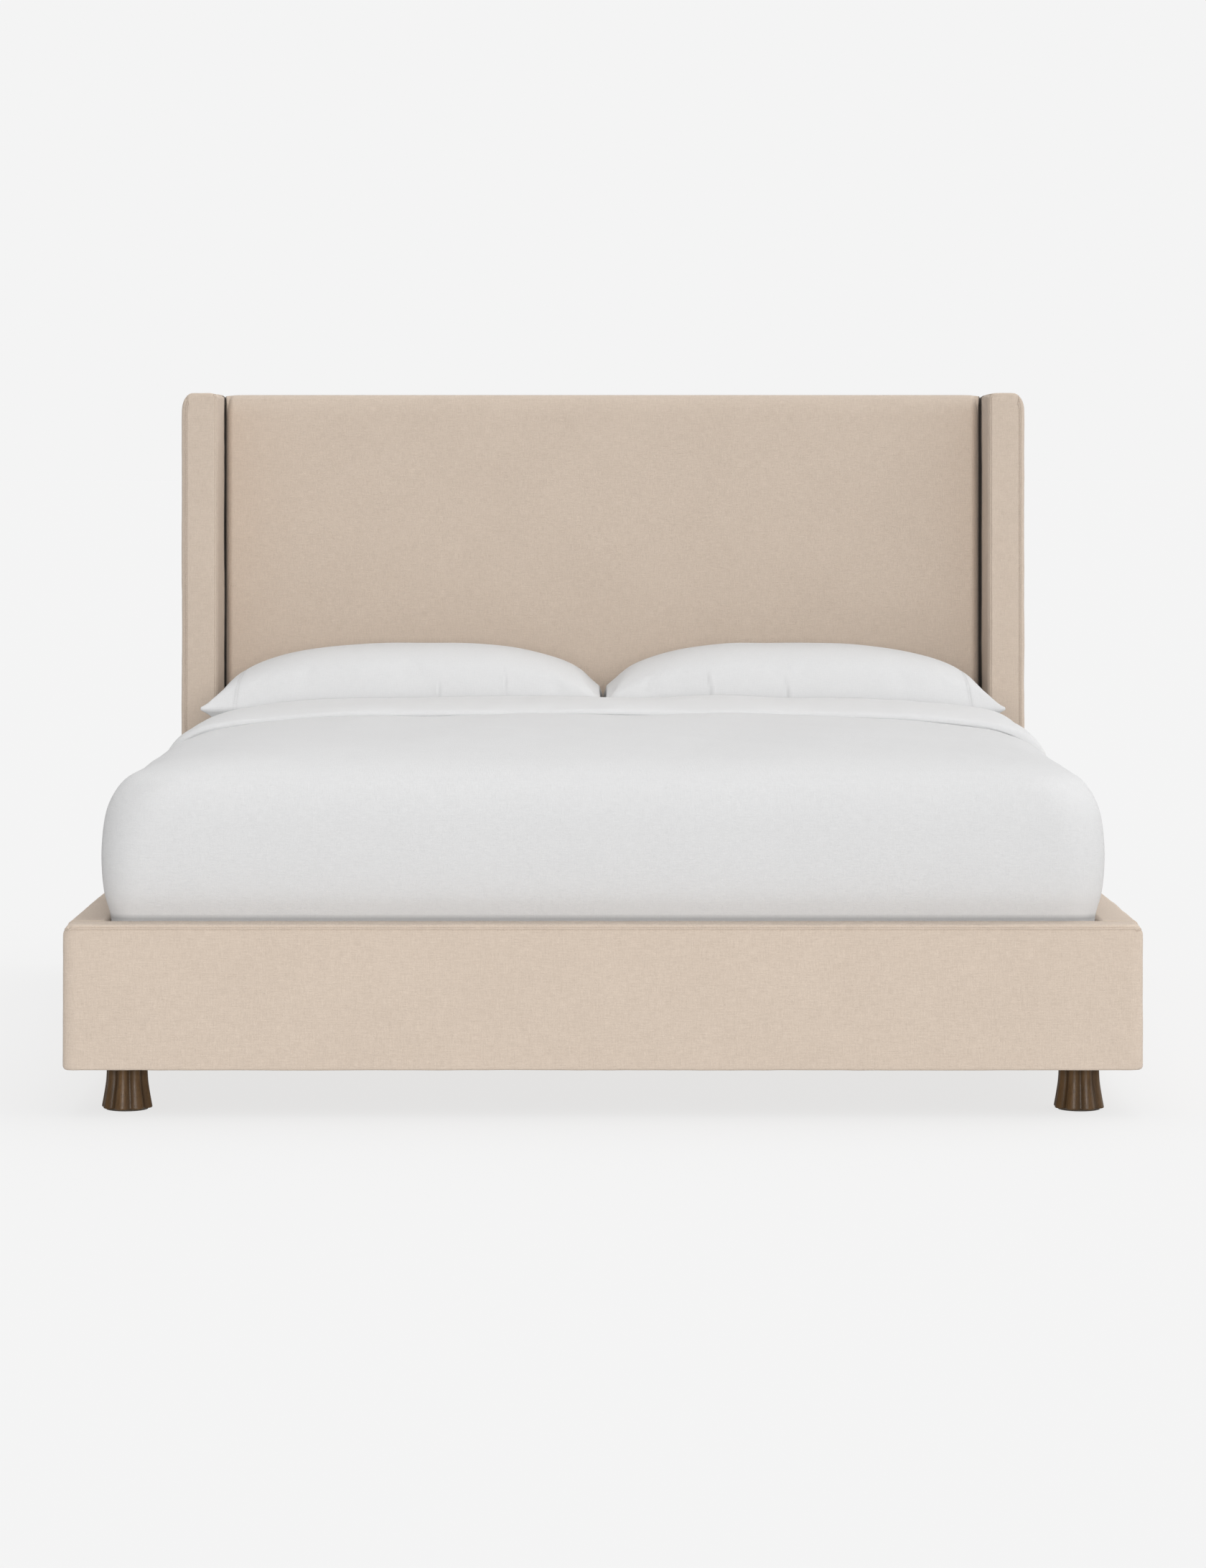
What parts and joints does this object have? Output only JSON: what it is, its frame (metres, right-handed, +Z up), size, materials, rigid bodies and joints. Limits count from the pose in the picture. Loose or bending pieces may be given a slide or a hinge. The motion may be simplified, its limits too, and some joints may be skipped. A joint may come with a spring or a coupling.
{
  "type": "upholstered bed",
  "caption": "Upholstered platform bed with a padded, winged headboard, fluted legs, a slatted base, a mattress and made-up bedding.",
  "frame": {"origin": "on the floor under the middle of the bed's outline", "axes": "+Z up, -Y towards the foot end, +Y towards the headboard, +X to the right as seen from the foot end"},
  "size_m": [1.727, 2.21, 1.193],
  "materials": {
    "upholstery": "matte",
    "lining": "matte",
    "board": "matte",
    "slat": "matte",
    "walnut": "satin",
    "steel": "satin",
    "zinc": "satin",
    "plastic": "matte",
    "felt": "matte",
    "ticking": "matte",
    "linen": "matte"
  },
  "bodies": {
    "bed_frame": {"beam_bracket_foot": "steel", "beam_bracket_head": "steel", "centre_beam": "board", "corner_block_foot_left": "board", "corner_block_foot_right": "board", "corner_block_head_left": "board", "corner_block_head_right": "board", "corner_bracket_foot_left": "steel", "corner_bracket_foot_right": "steel", "corner_bracket_head_left": "steel", "corner_bracket_head_right": "steel", "footboard_core": "board", "footboard_cover": "upholstery", "headboard_back_cover": "lining", "headboard_core": "board", "headboard_panel_cover": "upholstery", "ledger_left": "board", "ledger_right": "board", "leg_bolt_foot_left": "zinc", "leg_bolt_foot_right": "zinc", "leg_bolt_head_left": "zinc", "leg_bolt_head_right": "zinc", "leg_foot_left": "walnut", "leg_foot_right": "walnut", "leg_glide_foot_left": "felt", "leg_glide_foot_right": "felt", "leg_glide_head_left": "felt", "leg_glide_head_right": "felt", "leg_head_left": "walnut", "leg_head_right": "walnut", "side_rail_core_left": "board", "side_rail_core_right": "board", "side_rail_cover_left": "upholstery", "side_rail_cover_right": "upholstery", "slat_1": "slat", "slat_10": "slat", "slat_11": "slat", "slat_12": "slat", "slat_2": "slat", "slat_3": "slat", "slat_4": "slat", "slat_5": "slat", "slat_6": "slat", "slat_7": "slat", "slat_8": "slat", "slat_9": "slat", "support_leg_1": "board", "support_leg_2": "board", "wing_core_left": "board", "wing_core_right": "board", "wing_cover_left": "upholstery", "wing_cover_right": "upholstery"},
    "mattress_set": {"mattress": "ticking", "fitted_sheet": "linen", "duvet": "linen"},
    "left_pillow": {"pillow_left": "linen"},
    "right_pillow": {"pillow_right": "linen"},
    "levelling_foot_1": {"support_foot_1": "plastic"},
    "levelling_foot_2": {"support_foot_2": "plastic"}
  },
  "joints": [
    {"name": "mattress_lift", "type": "slide", "parent": "bed_frame", "child": "mattress_set", "axis": [0, 0, 1], "range_m": [0, 0.4]},
    {"name": "pillow_left_lift", "type": "slide", "parent": "mattress_set", "child": "left_pillow", "axis": [0, 0, 1], "range_m": [0, 0.3]},
    {"name": "pillow_right_lift", "type": "slide", "parent": "mattress_set", "child": "right_pillow", "axis": [0, 0, 1], "range_m": [0, 0.3]},
    {"name": "support_foot_1_height", "type": "slide", "parent": "bed_frame", "child": "levelling_foot_1", "axis": [0, 0, 1], "range_m": [0, 0.012]},
    {"name": "support_foot_2_height", "type": "slide", "parent": "bed_frame", "child": "levelling_foot_2", "axis": [0, 0, 1], "range_m": [0, 0.012]}
  ]
}
